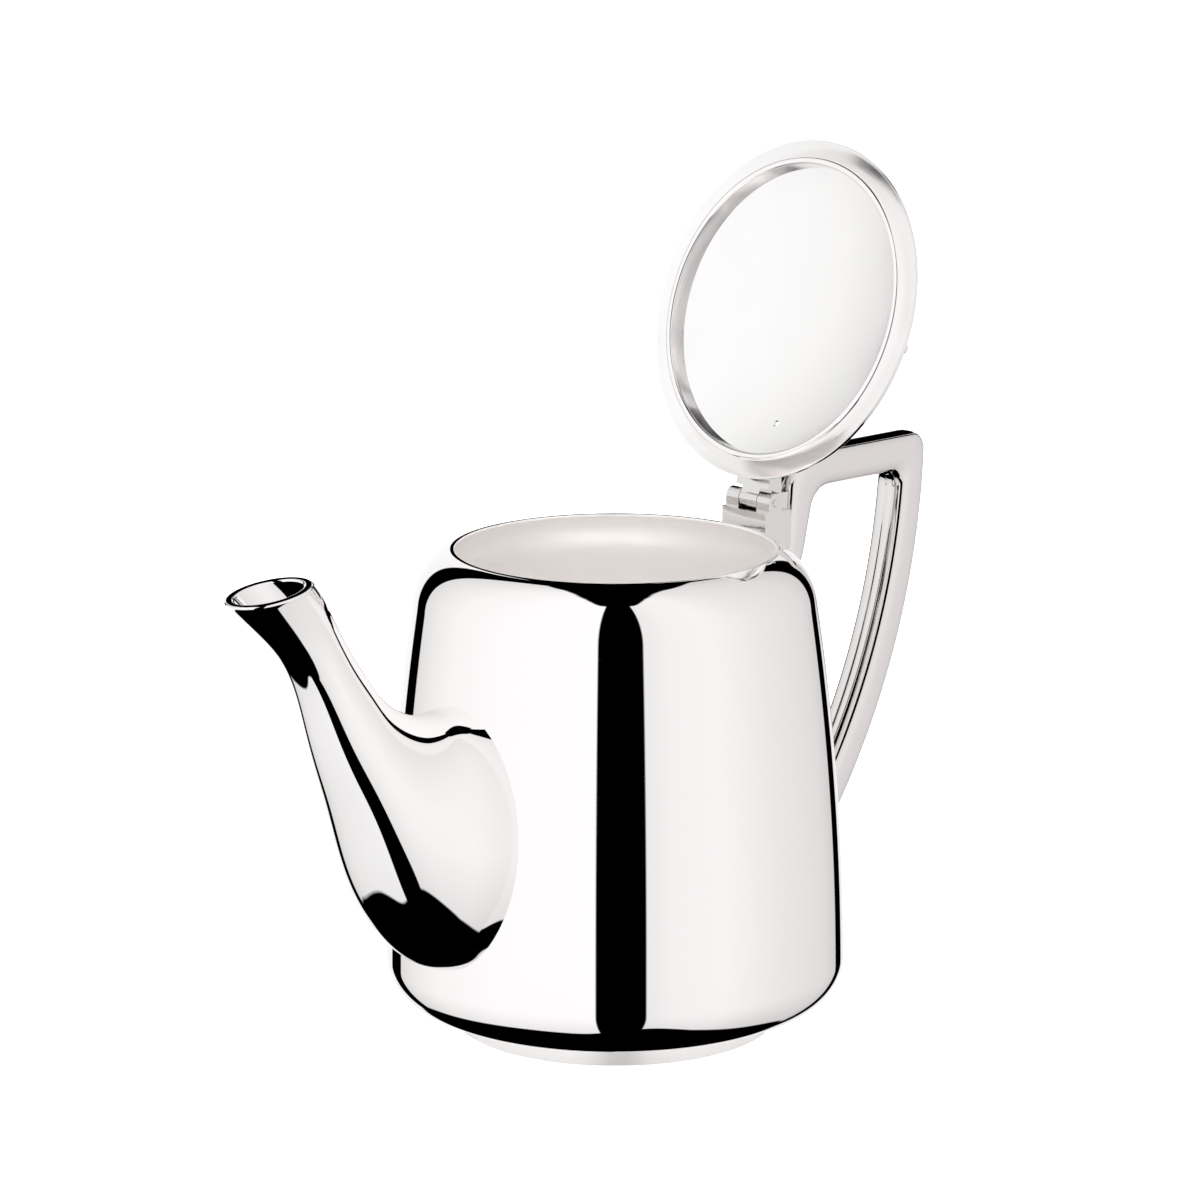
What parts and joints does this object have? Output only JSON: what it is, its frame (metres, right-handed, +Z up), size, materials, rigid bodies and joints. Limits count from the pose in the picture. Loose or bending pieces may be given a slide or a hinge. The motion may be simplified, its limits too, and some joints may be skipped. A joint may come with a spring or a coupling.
{
  "type": "teapot",
  "caption": "Polished metal teapot with a tall bowed body on a low foot, S-curved spout, hollow angular handle and a hinged domed lid with a turned knob, shown open.",
  "frame": {"origin": "centre of the foot ring on the table", "axes": "+Z up along the pot's axis, +X towards the handle, spout towards -X, mirror plane Y = 0"},
  "size_m": [0.2058, 0.1038, 0.1943],
  "materials": {
    "polished_silver": "mirror-polished silver plate",
    "satin_silver": "turned satin silver plate",
    "cast_silver": "cast and filed, plated"
  },
  "bodies": {
    "pot": {"body_shell": "polished_silver", "foot_ring": "satin_silver", "spout_left_half": "polished_silver", "spout_right_half": "polished_silver", "handle_left_half": "polished_silver", "handle_right_half": "polished_silver", "hinge_lower_leaf": "cast_silver", "hinge_pin": "cast_silver"},
    "lid": {"hinge_upper_leaf": "cast_silver", "lid_cover": "polished_silver", "lid_bezel": "satin_silver", "lid_knob": "polished_silver"}
  },
  "joints": [
    {"name": "lid_hinge", "type": "hinge", "parent": "pot", "child": "lid", "pos_m": [0.04345, 0, 0.1142], "axis": [0, 1, 0], "range_deg": [-109.4, 0]}
  ]
}
